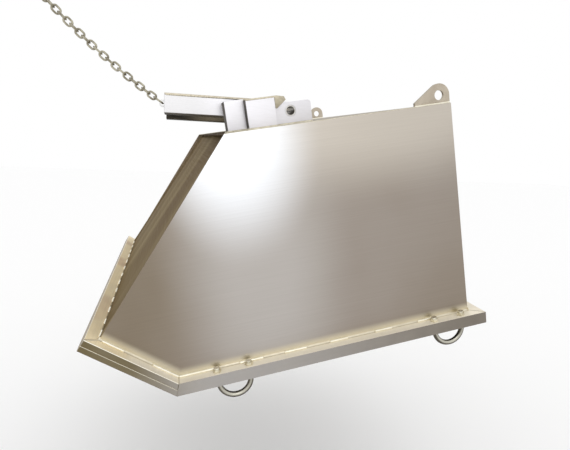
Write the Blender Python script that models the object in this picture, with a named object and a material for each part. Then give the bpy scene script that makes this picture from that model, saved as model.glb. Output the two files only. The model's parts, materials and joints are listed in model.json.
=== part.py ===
"""Forklift tipping skip in stainless sheet, hanging mouth down from the hinge of its fork sleeves.

World frame, in metres: +X runs along the fork sleeves from their open ends to the hinge, +Z is up,
and the origin lies midway between the sleeves, at their open ends, where the forks' top faces bear.

The bin is modelled in its own frame, which an empty on the hinge axis carries: x runs along the bottom
plate to the rear wall, y across, and z out of the bottom plate, so the mouth is at the lowest z.
"""

import math

import bmesh
import bpy
from mathutils import Matrix, Vector

# Bin body
BIN_WIDTH = 1.510
BOTTOM_LENGTH = 0.785
BIN_HEIGHT = 0.767  # bottom plate to the top face of the rim
KINK_OVERHANG = 0.2745  # rim kink, ahead of the bottom plate
LIP_OVERHANG = 0.4925  # front lip, ahead of the bottom plate
LIP_HEIGHT = 0.580
REAR_LEAN = 0.018
SHEET = 0.004
SLOPE_RECESS = 0.030  # top of the front slope plate, set back from the edges of the side plates

# Rim angle
RIM_WIDTH = 0.045
RIM_DEPTH = 0.042
RIM_WALL = 0.005

# U-bolts and nuts on the rim
UBOLT_BAR = 0.019
UBOLT_SPAN = 0.108  # between the axes of its legs
UBOLT_LEG = 0.058  # straight leg above the bend
UBOLT_FRONT = 0.180  # first U-bolt, behind the kink
UBOLT_REAR = 0.098  # second U-bolt, ahead of the rear wall
NUT_FLATS = 0.024
NUT_HEIGHT = 0.010

# Lifting lugs on the bottom plate, by the rear wall
LUG_THICKNESS = 0.010
LUG_HOLE = 0.033
LUG_HOLE_HEIGHT = 0.030
LUG_RADIUS = 0.039
LUG_TOE = 0.093  # from the hole forward to the upright front end
LUG_TOE_HEIGHT = 0.013
LUG_INSET = 0.016  # in from the side plate
LUG_FROM_REAR = 0.034  # hole to the rear end of the bottom plate

# Hinge
HINGE_FROM_FRONT = 0.305
HINGE_HEIGHT = 0.050  # axis to the bottom plate
TILT = math.radians(10.7)
PIN_OUTER = 0.042
PIN_BORE = 0.031
PIN_PLAY = 0.0005

# Hinge cheeks and guide brackets on the bottom plate
CHEEK_THICKNESS = 0.015
CHEEK_PLAY = 0.0005  # beside the sleeve
CHEEK_HEIGHT = 0.084
CHEEK_BEHIND = 0.084  # behind the hinge axis
CHEEK_AHEAD = 0.085
CHEEK_CORNER = 0.012
CHEEK_NOTCH = 0.019  # drop of its front part's top below the rest
CHEEK_NOTCH_LENGTH = 0.034
CHEEK_RAMP = 0.039  # from the notch back up to the full height
GUIDE_WALL = 0.006
GUIDE_PLAY = 0.0010
FRONT_GUIDE_HEIGHT = 0.112
FRONT_GUIDE_LENGTH = 0.072
FRONT_GUIDE_DEPTH = 0.080
REAR_GUIDE_HEIGHT = 0.107
REAR_GUIDE_LENGTH = 0.107
REAR_GUIDE_DEPTH = 0.126
GUIDE_FROM_HINGE = 0.081  # rear guide's rear face, ahead of the axis
STOP_LENGTH = 0.040
STOP_WIDTH = 0.100
STOP_FROM_HINGE = 0.180

# Fork sleeves and their cross-members
SLEEVE_SPACING = 0.630
SLEEVE_WIDTH = 0.160
SLEEVE_HEIGHT = 0.074
SLEEVE_LENGTH = 0.375
SLEEVE_WALL = 0.005
TOP_PLATE = 0.006
TOP_PLATE_OVERHANG = 0.003  # beside the channel, as far as its front end, clear of the swinging cheeks
EAR_THICKNESS = 0.015
EAR_RADIUS = 0.034
EAR_LENGTH = 0.103  # sleeve's front end to the hinge axis
PAD_LENGTH = 0.048
PAD_WIDTH = 0.120
PAD_BEVEL = 0.004
FORK_STOP = 0.010
CROSSBAR = 0.050
REAR_CROSSBAR_FROM_END = 0.020
FRONT_CROSSBAR_FROM_END = 0.025

# Safety chain
ANCHOR_THICKNESS = 0.010
ANCHOR_REACH = 0.012  # hole, behind the sleeves' open ends
ANCHOR_DROP = 0.010
ANCHOR_RADIUS = 0.017
ANCHOR_HOLE = 0.018
RING_BAR = 0.008
RING_LENGTH = 0.046  # between the axes of its two ends
RING_SPAN = 0.020
RING_ANGLE = math.radians(146.5)  # rises along the chain
CHAIN_WIDTH = 0.034
CHAIN_END = (-0.520, 0.0, 0.420)
CHAIN_SAG = 0.022
CHAIN_STEPS = 16
HOOK_BAR = 0.012
HOOK_EYE = 0.015  # radius to the bar's axis
HOOK_BOWL = 0.020
HOOK_SHANK = 0.070  # between the middles of its eye and bowl

CLEARANCE = 0.0003
CIRCLE_SIDES = 24

HALF_WIDTH = BIN_WIDTH / 2
REST_HEIGHT = HINGE_HEIGHT - SLEEVE_HEIGHT / 2 - CLEARANCE  # sleeve top to the upright bin's bottom plate
HINGE_X = SLEEVE_LENGTH + EAR_LENGTH
HINGE_Z = TOP_PLATE - SLEEVE_HEIGHT / 2
SIDES = (("near", -1), ("far", 1))

STEEL = {
    "sheet": ((0.62, 0.60, 0.57), 0.38),
    "rim": ((0.66, 0.63, 0.55), 0.35),
    "sleeve": ((0.78, 0.78, 0.78), 0.35),
    "bolt": ((0.55, 0.54, 0.50), 0.22),
    "chain": ((0.45, 0.44, 0.40), 0.45),
}


def material(name):
    found = bpy.data.materials.get(name)
    if found:
        return found
    colour, roughness = STEEL[name]
    made = bpy.data.materials.new(name)
    made.use_nodes = True
    shader = made.node_tree.nodes["Principled BSDF"]
    shader.inputs["Base Color"].default_value = (*colour, 1)
    shader.inputs["Roughness"].default_value = roughness
    shader.inputs["Metallic"].default_value = 1
    return made


def clear_scene():
    for obj in list(bpy.data.objects):
        bpy.data.objects.remove(obj)


def collection(name):
    made = bpy.data.collections.new(name)
    bpy.context.scene.collection.children.link(made)
    return made


def arc(centre, radius, start, end, steps=8):
    """Points on an arc from start to end, in degrees."""
    angles = [math.radians(start + (end - start) * i / steps) for i in range(steps + 1)]
    return [(centre[0] + radius * math.cos(a), centre[1] + radius * math.sin(a)) for a in angles]


def circle(centre, diameter, sides=CIRCLE_SIDES):
    """A circle whose flats, not its corners, lie at the diameter."""
    radius = diameter / 2 / math.cos(math.pi / sides)
    return arc(centre, radius, 0, 360, sides)[:-1]


def round_bar_circle(centre, diameter, sides=CIRCLE_SIDES):
    """A circle whose corners lie at the diameter."""
    return arc(centre, diameter / 2, 0, 360, sides)[:-1]


def extruded(name, outlines, half_thickness):
    """A flat outline, with any holes after it, given its thickness both ways along its own z."""
    data = bpy.data.curves.new(name, "CURVE")
    data.dimensions = "2D"
    data.fill_mode = "BOTH"
    data.extrude = half_thickness
    for outline in outlines:
        spline = data.splines.new("POLY")
        spline.points.add(len(outline) - 1)
        for point, (x, y) in zip(spline.points, outline):
            point.co = (x, y, 0, 1)
        spline.use_cyclic_u = True
    return bpy.data.objects.new(name, data)


UPRIGHT = (math.pi / 2, 0, 0)  # outline in x and z, thickness along y
ALONG_X = (math.pi / 2, 0, math.pi / 2)  # outline in y and z, thickness along x
FLAT = (0, 0, 0)  # outline in x and y, thickness along z


class Builder:
    """Adds pieces to the skip's collection, on the bin's pivot or standing with the sleeves."""

    def __init__(self):
        self.parts = collection("tipping_skip")
        self.cutters = collection("cutters")
        self.pivot = bpy.data.objects.new("bin_pivot", None)
        self.pivot.location = (HINGE_X, 0, HINGE_Z)
        self.pivot.rotation_euler = (0, -TILT, 0)
        self.parts.objects.link(self.pivot)

    def add(self, obj, finish, on_bin):
        self.parts.objects.link(obj)
        if on_bin:
            obj.parent = self.pivot
        obj.data.materials.append(material(finish))
        return obj

    def plate(self, name, outlines, low, high, finish, on_bin=False, lie=UPRIGHT):
        """A flat piece from low to high along the axis that its outline is square to."""
        obj = extruded(name, outlines, (high - low) / 2)
        obj.rotation_euler = lie
        middle = (low + high) / 2
        obj.location = {UPRIGHT: (0, middle, 0), ALONG_X: (middle, 0, 0), FLAT: (0, 0, middle)}[lie]
        return self.add(obj, finish, on_bin)

    def bar(self, name, points, diameter, finish, on_bin=False, closed=False, sides=2):
        """A round bar bent along the points, with filled ends."""
        data = bpy.data.curves.new(name, "CURVE")
        data.dimensions = "3D"
        data.bevel_depth = diameter / 2
        data.bevel_resolution = sides
        data.use_fill_caps = not closed
        spline = data.splines.new("POLY")
        spline.points.add(len(points) - 1)
        for point, co in zip(spline.points, points):
            point.co = (*co, 1)
        spline.use_cyclic_u = closed
        return self.add(bpy.data.objects.new(name, data), finish, on_bin)


def box(x0, x1, y0, y1):
    return [(x0, y0), (x1, y0), (x1, y1), (x0, y1)]


def bin_point(along, down):
    """Bin frame point from its distances behind the bottom plate's front edge and below the plate."""
    return Vector((along - HINGE_FROM_FRONT, -down - HINGE_HEIGHT))


def crossing(p, d, q, e):
    """Where the line through p along d meets the line through q along e."""
    k = (q - p).cross(e) / d.cross(e)
    return p + d * k


FRONT_TOP = bin_point(0, 0)
REAR_TOP = bin_point(BOTTOM_LENGTH, 0)
REAR_RIM = bin_point(BOTTOM_LENGTH + REAR_LEAN, BIN_HEIGHT)
KINK = bin_point(-KINK_OVERHANG, BIN_HEIGHT)
LIP = bin_point(-LIP_OVERHANG, LIP_HEIGHT)

LONG_WAY = (REAR_RIM - KINK).normalized()
LIP_WAY = (LIP - KINK).normalized()
SLOPE_WAY = (LIP - FRONT_TOP).normalized()
REAR_WAY = (REAR_RIM - REAR_TOP).normalized()
DOWN = Vector((0, -1))  # out of the long mouth
LIP_DOWN = Vector((LIP_WAY.y, -LIP_WAY.x))  # out of the front mouth
if LIP_DOWN.y > 0:
    LIP_DOWN.negate()

MOUTH_LONG = KINK + DOWN * RIM_DEPTH
MOUTH_LIP = KINK + LIP_DOWN * RIM_DEPTH
MOUTH_KINK = crossing(MOUTH_LONG, LONG_WAY, MOUTH_LIP, LIP_WAY)
MOUTH_REAR = crossing(MOUTH_LONG, LONG_WAY, REAR_TOP, REAR_WAY)
MOUTH_FRONT = crossing(MOUTH_LIP, LIP_WAY, FRONT_TOP, SLOPE_WAY)


def side_plates(build):
    """The two five-sided walls, which the other sheets fit between."""
    outline = [FRONT_TOP, REAR_TOP, MOUTH_REAR, MOUTH_KINK, MOUTH_FRONT]
    for side, sign in SIDES:
        low, high = sorted((sign * HALF_WIDTH, sign * (HALF_WIDTH - SHEET)))
        build.plate(f"{side}_side_plate", [outline], low, high, "sheet", on_bin=True)


def sheet_between(build, name, start, end, inward):
    """A sheet across the bin, its outer face from start to end, between the side plates."""
    across = HALF_WIDTH - SHEET - CLEARANCE
    depth = inward * SHEET
    build.plate(name, [[start, end, end + depth, start + depth]], -across, across, "sheet", on_bin=True)


def cross_sheets(build):
    """Bottom plate, rear wall and front slope plate."""
    rear_in = Vector((REAR_WAY.y, -REAR_WAY.x))
    if rear_in.x > 0:
        rear_in.negate()
    sheet_between(build, "bottom_plate", FRONT_TOP, REAR_TOP, Vector((0, -1)))
    under = Vector((0, -(SHEET + CLEARANCE)))
    rear_start = crossing(REAR_TOP + under, Vector((1, 0)), REAR_TOP, REAR_WAY)
    sheet_between(build, "rear_wall", rear_start, MOUTH_REAR, rear_in)
    set_back = Vector((SLOPE_RECESS, 0))
    slope_foot = LIP + Vector((CLEARANCE, 0))
    way = (slope_foot - FRONT_TOP - set_back).normalized()
    slope_start = crossing(FRONT_TOP + under, Vector((1, 0)), slope_foot, way)
    slope_end = crossing(MOUTH_LIP, LIP_WAY, slope_foot, way)
    sheet_between(build, "front_slope_plate", slope_start, slope_end, Vector((-way.y, way.x)))


def rim_bar(build, name, start, end, outward, down, start_normal, end_normal, holes=()):
    """A length of angle with its flat leg outward from the wall and its other leg down, cut to a mitre.

    start and end are where the bar's inner top edge would meet the mitre planes."""
    along = (end - start).normalized()
    profile = [
        (CLEARANCE, 0),
        (RIM_WIDTH, 0),
        (RIM_WIDTH, RIM_DEPTH),
        (RIM_WIDTH - RIM_WALL, RIM_DEPTH),
        (RIM_WIDTH - RIM_WALL, RIM_WALL),
        (CLEARANCE, RIM_WALL),
    ]
    curve = extruded(name, [profile], (end - start).length / 2)
    place = Matrix((outward, down, along)).transposed().to_4x4()
    place.translation = (start + end) / 2
    build.parts.objects.link(curve)
    bpy.context.view_layer.update()
    graph = bpy.context.evaluated_depsgraph_get()
    mesh = bpy.data.meshes.new_from_object(curve.evaluated_get(graph))
    mesh.transform(place)
    bpy.data.objects.remove(curve)
    shape = bmesh.new()
    shape.from_mesh(mesh)
    bmesh.ops.remove_doubles(shape, verts=shape.verts, dist=1e-5)
    middle = (start + end) / 2
    for vert in shape.verts:
        at_start = (vert.co - middle).dot(along) < 0
        anchor, normal = (start, start_normal) if at_start else (end, end_normal)
        anchor = anchor + along * (CLEARANCE if at_start else -CLEARANCE)
        vert.co += along * ((anchor - vert.co).dot(normal) / along.dot(normal))
    bmesh.ops.recalc_face_normals(shape, faces=shape.faces)
    shape.to_mesh(mesh)
    shape.free()
    mesh.name = name
    obj = build.add(bpy.data.objects.new(name, mesh), "rim", on_bin=True)
    for i, centre in enumerate(holes):
        drill(build, obj, f"{name}_hole_{i + 1}", centre, UBOLT_BAR + 2 * PIN_PLAY, down)


def drill(build, obj, name, centre, diameter, axis):
    """Cuts a round hole along the axis with a Boolean."""
    mesh = bpy.data.meshes.new(name)
    shape = bmesh.new()
    radius = diameter / 2 / math.cos(math.pi / CIRCLE_SIDES)
    bmesh.ops.create_cone(
        shape, cap_ends=True, segments=CIRCLE_SIDES, radius1=radius, radius2=radius, depth=6 * RIM_WALL
    )
    shape.transform(Matrix.Translation(centre) @ axis.to_track_quat("Z", "Y").to_matrix().to_4x4())
    shape.to_mesh(mesh)
    shape.free()
    cutter = bpy.data.objects.new(name, mesh)
    build.cutters.objects.link(cutter)
    cutter.parent = obj.parent
    cutter.hide_render = True
    cutter.display_type = "WIRE"
    cut = obj.modifiers.new(name, "BOOLEAN")
    cut.operation = "DIFFERENCE"
    cut.object = cutter


def in_3d(point, y):
    return Vector((point.x, y, point.y))


def ubolt_centres():
    """Places along the long rim of the U-bolts' middles, in the bin frame's x."""
    return (KINK.x + UBOLT_FRONT, REAR_RIM.x - UBOLT_REAR)


def rim(build):
    """Six mitred lengths of angle round the mouth."""
    down, lip_down = Vector((0, 0, -1)), in_3d(LIP_DOWN, 0)
    lip_way, long_way = in_3d(LIP_WAY, 0), in_3d(LONG_WAY, 0)
    rear_corner = crossing(KINK, LONG_WAY, MOUTH_REAR, Vector((0, 1)))
    kink_normal = (long_way - lip_way).normalized()
    for side, sign in SIDES:
        outward = Vector((0, sign, 0))
        y = sign * HALF_WIDTH
        kink, lip, rear = in_3d(KINK, y), in_3d(LIP, y), in_3d(rear_corner, y)
        hole_y = y + sign * RIM_WIDTH / 2
        holes = [
            Vector((x + end * UBOLT_SPAN / 2, hole_y, KINK.y - RIM_WALL / 2))
            for x in ubolt_centres()
            for end in (-1, 1)
        ]
        rear_normal = (long_way - outward).normalized()
        lip_normal = (lip_way - outward).normalized()
        rim_bar(build, f"{side}_long_rim", kink, rear, outward, down, kink_normal, rear_normal, holes)
        rim_bar(build, f"{side}_front_rim", kink, lip, outward, lip_down, kink_normal, lip_normal)
    ends = [in_3d(rear_corner, y) for y in (-HALF_WIDTH, HALF_WIDTH)]
    cross = Vector((0, 1, 0))
    mitres = (cross + long_way).normalized(), (cross - long_way).normalized()
    rim_bar(build, "rear_rim", *ends, long_way, down, *mitres)
    ends = [in_3d(LIP, y) for y in (-HALF_WIDTH, HALF_WIDTH)]
    mitres = (cross + lip_way).normalized(), (cross - lip_way).normalized()
    rim_bar(build, "lip_rim", *ends, lip_way, lip_down, *mitres)


def ubolts(build):
    """Round bars bent to a half ring below the rim, each leg through its flat leg and nutted on top."""
    leg_top = KINK.y + UBOLT_LEG - RIM_DEPTH
    for side, sign in SIDES:
        y = sign * (HALF_WIDTH + RIM_WIDTH / 2)
        for place, x in zip(("front", "rear"), ubolt_centres()):
            bend = arc((x, leg_top - UBOLT_LEG), UBOLT_SPAN / 2, 180, 360, 14)
            ends = [(x - UBOLT_SPAN / 2, leg_top), (x + UBOLT_SPAN / 2, leg_top)]
            points = [(px, y, pz) for px, pz in [ends[0], *bend, ends[1]]]
            build.bar(f"{side}_{place}_ubolt", points, UBOLT_BAR, "bolt", on_bin=True)
            for leg, dx in (("a", -UBOLT_SPAN / 2), ("b", UBOLT_SPAN / 2)):
                hexagon = arc((x + dx, y), NUT_FLATS / math.sqrt(3), 0, 360, 6)[:-1]
                hole = circle((x + dx, y), UBOLT_BAR + 2 * CLEARANCE, 16)
                low = KINK.y + CLEARANCE
                build.plate(
                    f"{side}_{place}_nut_{leg}", [hexagon, hole], low, low + NUT_HEIGHT, "bolt", True, FLAT
                )


def lifting_lugs(build):
    """Two upright lugs near the rear corners of the bottom plate."""
    foot = -HINGE_HEIGHT + CLEARANCE
    centre = Vector((REAR_TOP.x - LUG_FROM_REAR, foot + LUG_HOLE_HEIGHT))
    toe = Vector((centre.x - LUG_TOE, foot + LUG_TOE_HEIGHT))
    reach = (toe - centre).length
    tangent = math.degrees(math.atan2(toe.y - centre.y, toe.x - centre.x) % math.tau)
    tangent -= math.degrees(math.acos(LUG_RADIUS / reach))
    base = [(toe.x, foot), (centre.x + LUG_RADIUS, foot)]
    outline = [toe, *base, *arc(centre, LUG_RADIUS, 0, tangent, 14)]
    for side, sign in SIDES:
        low, high = sorted(sign * (HALF_WIDTH - LUG_INSET - t) for t in (0, LUG_THICKNESS))
        build.plate(f"{side}_lifting_lug", [outline, circle(centre, LUG_HOLE)], low, high, "sheet", True)


def across_sleeve(sign, out):
    """A y at a distance outward from the outer face of that side's sleeve."""
    return sign * (SLEEVE_SPACING / 2 + SLEEVE_WIDTH / 2 + out)


def hinge_cheeks(build):
    """A cheek on each side of both sleeves, standing on the bottom plate and carrying the hollow pin."""
    foot = -HINGE_HEIGHT + CLEARANCE
    top = -HINGE_HEIGHT + CHEEK_HEIGHT
    outline = [
        (-CHEEK_AHEAD, foot),
        (CHEEK_BEHIND, foot),
        *arc((CHEEK_BEHIND - CHEEK_CORNER, top - CHEEK_CORNER), CHEEK_CORNER, 0, 90, 4),
        (-CHEEK_AHEAD + CHEEK_NOTCH_LENGTH + CHEEK_RAMP, top),
        (-CHEEK_AHEAD + CHEEK_NOTCH_LENGTH, top - CHEEK_NOTCH),
        (-CHEEK_AHEAD, top - CHEEK_NOTCH),
    ]
    hole = circle((0, 0), PIN_OUTER + 2 * CLEARANCE)
    inner = SLEEVE_WIDTH + CHEEK_PLAY
    for side, sign in SIDES:
        for face, out in (("outer", CHEEK_PLAY), ("inner", -inner - CHEEK_THICKNESS)):
            low, high = sorted(across_sleeve(sign, out + t) for t in (0, CHEEK_THICKNESS))
            build.plate(f"{side}_{face}_cheek", [outline, hole], low, high, "sleeve", True)
        ends = (CHEEK_PLAY + CHEEK_THICKNESS, -inner - CHEEK_THICKNESS)
        low, high = sorted(across_sleeve(sign, out) for out in ends)
        tube = [round_bar_circle((0, 0), PIN_OUTER), circle((0, 0), PIN_BORE)]
        build.plate(f"{side}_hinge_pin", tube, low, high, "sleeve", True)


def guides(build):
    """Two folded brackets beside the near sleeve."""
    foot = -HINGE_HEIGHT + CLEARANCE
    rear_end = -GUIDE_FROM_HINGE
    split = rear_end - REAR_GUIDE_LENGTH
    front_end = split - CLEARANCE - FRONT_GUIDE_LENGTH
    cheek_face = CHEEK_PLAY + CHEEK_THICKNESS + CLEARANCE
    side, sign = SIDES[0]
    wall, deep, play = GUIDE_WALL, REAR_GUIDE_DEPTH, GUIDE_PLAY
    channel = [
        (split, play),
        (split, deep),
        (rear_end, deep),
        (rear_end, cheek_face),
        (rear_end - wall, cheek_face),
        (rear_end - wall, deep - wall),
        (split + wall, deep - wall),
        (split + wall, play),
    ]
    deep = FRONT_GUIDE_DEPTH
    angle = [
        (front_end, play),
        (front_end, deep),
        (split - CLEARANCE, deep),
        (split - CLEARANCE, deep - wall),
        (front_end + wall, deep - wall),
        (front_end + wall, play),
    ]
    for name, outline, height in (
        (f"{side}_rear_guide", channel, REAR_GUIDE_HEIGHT),
        (f"{side}_front_guide", angle, FRONT_GUIDE_HEIGHT),
    ):
        points = [(x, across_sleeve(sign, out)) for x, out in outline]
        build.plate(name, [points], foot, height - HINGE_HEIGHT, "sleeve", True, FLAT)


def stop_blocks(build):
    """A block under each sleeve, on which the sleeve bears when the bin is tipped."""
    foot = -HINGE_HEIGHT + CLEARANCE
    start, end = -STOP_FROM_HINGE, STOP_LENGTH - STOP_FROM_HINGE
    outline = [(start, foot), (end, foot), (end, under_sleeve(end)), (start, under_sleeve(start))]
    for side, sign in SIDES:
        middle = sign * SLEEVE_SPACING / 2
        low, high = middle - STOP_WIDTH / 2, middle + STOP_WIDTH / 2
        build.plate(f"{side}_stop_block", [outline], low, high, "sleeve", True)


def under_sleeve(x):
    """Height in the bin frame of the tipped sleeve's underside, less the gap, at x."""
    return -math.tan(TILT) * x - (SLEEVE_HEIGHT / 2 + CLEARANCE) / math.cos(TILT)


def sleeves(build):
    """Fork sleeves: a folded channel, its top plate, a fork stop, two hinge ears and a rest pad each."""
    floor, lid = TOP_PLATE - SLEEVE_HEIGHT, -CLEARANCE
    inner = SLEEVE_WIDTH / 2 - SLEEVE_WALL
    half = SLEEVE_WIDTH / 2
    ear_start = SLEEVE_LENGTH + CLEARANCE
    for side, sign in SIDES:
        y = sign * SLEEVE_SPACING / 2
        channel = [
            (y - half, lid),
            (y - half, floor),
            (y + half, floor),
            (y + half, lid),
            (y + inner, lid),
            (y + inner, floor + SLEEVE_WALL),
            (y - inner, floor + SLEEVE_WALL),
            (y - inner, lid),
        ]
        build.plate(f"{side}_sleeve_channel", [channel], 0, SLEEVE_LENGTH, "sleeve", False, ALONG_X)
        edge = half + TOP_PLATE_OVERHANG
        front = HINGE_X - EAR_RADIUS
        top = [
            (0, y - edge),
            (SLEEVE_LENGTH, y - edge),
            (SLEEVE_LENGTH, y - half),
            (front, y - half),
            (front, y + half),
            (SLEEVE_LENGTH, y + half),
            (SLEEVE_LENGTH, y + edge),
            (0, y + edge),
        ]
        build.plate(f"{side}_sleeve_top_plate", [top], 0, TOP_PLATE, "sleeve", False, FLAT)
        ear = [
            (ear_start, floor),
            *arc((HINGE_X, HINGE_Z), EAR_RADIUS, -90, 90, 12),
            (front, HINGE_Z + EAR_RADIUS),
            (front, lid),
            (ear_start, lid),
        ]
        hole = circle((HINGE_X, HINGE_Z), PIN_OUTER + 2 * PIN_PLAY)
        for face, out in (("outer", 0), ("inner", -SLEEVE_WIDTH + EAR_THICKNESS)):
            low, high = sorted(across_sleeve(sign, out - t) for t in (0, EAR_THICKNESS))
            build.plate(f"{side}_{face}_ear", [ear, hole], low, high, "sleeve")
        gap = half - EAR_THICKNESS - CLEARANCE
        stop = box(y - gap, y + gap, floor, lid)
        build.plate(f"{side}_fork_stop", [stop], ear_start, ear_start + FORK_STOP, "sleeve", False, ALONG_X)
        foot, rest = TOP_PLATE + CLEARANCE, TOP_PLATE + REST_HEIGHT
        pad = [
            (front - PAD_LENGTH, foot),
            (front, foot),
            (front, rest - PAD_BEVEL),
            (front - PAD_BEVEL, rest),
            (front - PAD_LENGTH, rest),
        ]
        build.plate(f"{side}_rest_pad", [pad], y - PAD_WIDTH / 2, y + PAD_WIDTH / 2, "sleeve")


def crossbars(build):
    """Square bars that join the two sleeves."""
    gap = SLEEVE_SPACING / 2 - SLEEVE_WIDTH / 2 - CLEARANCE
    top = TOP_PLATE + REST_HEIGHT
    edge = gap - TOP_PLATE_OVERHANG
    start = REAR_CROSSBAR_FROM_END
    rear = [
        (-gap, top - CROSSBAR),
        (gap, top - CROSSBAR),
        (gap, -CLEARANCE),
        (edge, -CLEARANCE),
        (edge, top),
        (-edge, top),
        (-edge, -CLEARANCE),
        (-gap, -CLEARANCE),
    ]
    build.plate("rear_crossbar", [rear], start, start + CROSSBAR, "sleeve", False, ALONG_X)
    front = SLEEVE_LENGTH - FRONT_CROSSBAR_FROM_END
    bar = box(-gap, gap, TOP_PLATE - SLEEVE_HEIGHT, -CLEARANCE)
    build.plate("front_crossbar", [bar], front - CROSSBAR, front, "sleeve", False, ALONG_X)


def chain(build):
    """Anchor lug on the rear crossbar, connecting ring, chain to the carriage, and its hook."""
    hole = (-ANCHOR_REACH, -ANCHOR_DROP)
    foot = REAR_CROSSBAR_FROM_END - CLEARANCE
    outline = [
        *arc(hole, ANCHOR_RADIUS, 90, 270, 12),
        (foot, hole[1] - ANCHOR_RADIUS),
        (foot, hole[1] + ANCHOR_RADIUS),
    ]
    half = ANCHOR_THICKNESS / 2
    build.plate("chain_anchor", [outline, circle(hole, ANCHOR_HOLE)], -half, half, "sleeve")

    way = Vector((math.cos(RING_ANGLE), 0, math.sin(RING_ANGLE)))
    across = Vector((0, 1, 0))
    start = Vector((hole[0], 0, hole[1]))
    bend = RING_SPAN / 2
    near_end, far_end = start + way * bend, start + way * (RING_LENGTH - bend)
    ring = []
    for centre, turn in ((near_end, 90), (far_end, 270)):
        for dx, dy in arc((0, 0), bend, turn, turn + 180, 8):
            ring.append(centre + way * dx + across * dy)
    build.bar("connecting_ring", ring, RING_BAR, "chain", closed=True)

    first, last = start + way * (RING_LENGTH + RING_BAR / 2 + CLEARANCE), Vector(CHAIN_END)
    route = []
    for i in range(CHAIN_STEPS + 1):
        t = i / CHAIN_STEPS
        route.append(first.lerp(last, t) - Vector((0, 0, 4 * CHAIN_SAG * t * (1 - t))))
    build.bar("safety_chain", route, CHAIN_WIDTH, "chain")

    up = (route[-1] - route[-2]).normalized()
    side = Vector((up.z, 0, -up.x))
    eye = route[-1] + up * (CLEARANCE + HOOK_EYE + HOOK_BAR / 2)
    points = [eye + up * x + side * y for x, y in arc((0, 0), HOOK_EYE, 35, 325, 16)]
    bowl = eye + up * HOOK_SHANK
    points += [bowl + up * x + side * y for x, y in arc((0, 0), HOOK_BOWL, 200, -40, 14)]
    build.bar("chain_hook", points, HOOK_BAR, "chain")


def main():
    clear_scene()
    build = Builder()
    for make in (side_plates, cross_sheets, rim, ubolts, lifting_lugs, hinge_cheeks, guides, stop_blocks):
        make(build)
    for make in (sleeves, crossbars, chain):
        make(build)


main()
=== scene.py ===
import json
import math
import random

import bpy
from bpy.props import FloatProperty, FloatVectorProperty, IntProperty, PointerProperty
from mathutils import Matrix, Vector
from mathutils.geometry import convex_hull_2d

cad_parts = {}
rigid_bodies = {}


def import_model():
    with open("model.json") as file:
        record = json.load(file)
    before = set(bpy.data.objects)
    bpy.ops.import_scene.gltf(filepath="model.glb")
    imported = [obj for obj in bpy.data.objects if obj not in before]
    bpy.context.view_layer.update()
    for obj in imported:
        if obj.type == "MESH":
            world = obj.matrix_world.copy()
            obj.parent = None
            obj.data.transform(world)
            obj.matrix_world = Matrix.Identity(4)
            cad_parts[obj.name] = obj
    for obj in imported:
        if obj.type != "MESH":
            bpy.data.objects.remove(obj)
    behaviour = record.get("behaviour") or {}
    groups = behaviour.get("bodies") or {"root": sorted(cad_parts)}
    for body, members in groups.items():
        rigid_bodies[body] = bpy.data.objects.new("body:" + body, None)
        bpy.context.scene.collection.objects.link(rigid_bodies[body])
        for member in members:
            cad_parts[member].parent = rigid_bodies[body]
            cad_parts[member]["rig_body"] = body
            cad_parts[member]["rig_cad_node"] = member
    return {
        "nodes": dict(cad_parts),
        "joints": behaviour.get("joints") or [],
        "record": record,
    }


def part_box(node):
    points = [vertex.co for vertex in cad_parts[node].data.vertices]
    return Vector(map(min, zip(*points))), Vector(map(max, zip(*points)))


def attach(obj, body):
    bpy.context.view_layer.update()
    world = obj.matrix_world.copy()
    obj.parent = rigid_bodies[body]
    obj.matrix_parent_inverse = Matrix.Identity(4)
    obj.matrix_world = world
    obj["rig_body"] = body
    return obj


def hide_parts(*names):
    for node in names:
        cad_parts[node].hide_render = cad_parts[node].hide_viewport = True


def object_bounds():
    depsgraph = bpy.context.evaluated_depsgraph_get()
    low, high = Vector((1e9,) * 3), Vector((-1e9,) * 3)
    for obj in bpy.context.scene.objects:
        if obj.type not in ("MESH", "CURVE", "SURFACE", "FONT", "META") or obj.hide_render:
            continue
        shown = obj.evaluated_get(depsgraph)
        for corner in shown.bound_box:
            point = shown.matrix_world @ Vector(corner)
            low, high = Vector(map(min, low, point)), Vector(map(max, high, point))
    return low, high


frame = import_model()
CAD_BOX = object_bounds()

bl_info = {
    "name": "Forklift tipping skip",
    "version": (1, 0, 0),
    "blender": (4, 5, 0),
    "location": "3D view > Sidebar > Skip",
    "description": "Dresses the packed tipping skip: welds, chain, fasteners and satin steel finishes",
    "category": "Object",
}

SKIP = "bin"
FORKS = "sleeves"
SIDES = (("near", -1), ("far", 1))

JOINT = frame["joints"][0]
HINGE = Vector(JOINT["pos_m"])
TILT = math.radians(180 - JOINT["range_deg"][1])
BIN = Matrix.Translation(HINGE) @ Matrix.Rotation(-TILT, 4, "Y")
TO_BIN = BIN.inverted()
WORLD = Matrix.Identity(4)


def bin_points(node):
    """The corners of a CAD node in the bin's own frame, where x runs along its bottom plate."""
    return [TO_BIN @ vert.co for vert in frame["nodes"][node].data.vertices]


def bin_box(*nodes):
    """Lowest and highest corner of some CAD nodes, in the bin's own frame."""
    points = [point for node in nodes for point in bin_points(node)]
    return (
        Vector([min(point[i] for point in points) for i in range(3)]),
        Vector([max(point[i] for point in points) for i in range(3)]),
    )


def crossing(p, d, q, e):
    """Where the line through p along d meets the line through q along e."""
    k = (q - p).cross(e) / d.cross(e)
    return p + d * k


def corners(node):
    """A sheet's corners from the side, in the bin frame: the top two, then the rest, each from the front."""
    found = {(round(p.x, 4), round(p.z, 4)) for p in bin_points(node)}
    found = sorted(found, key=lambda p: -p[1])
    return [Vector(p) for p in (*sorted(found[:2]), *sorted(found[2:]))]


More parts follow.
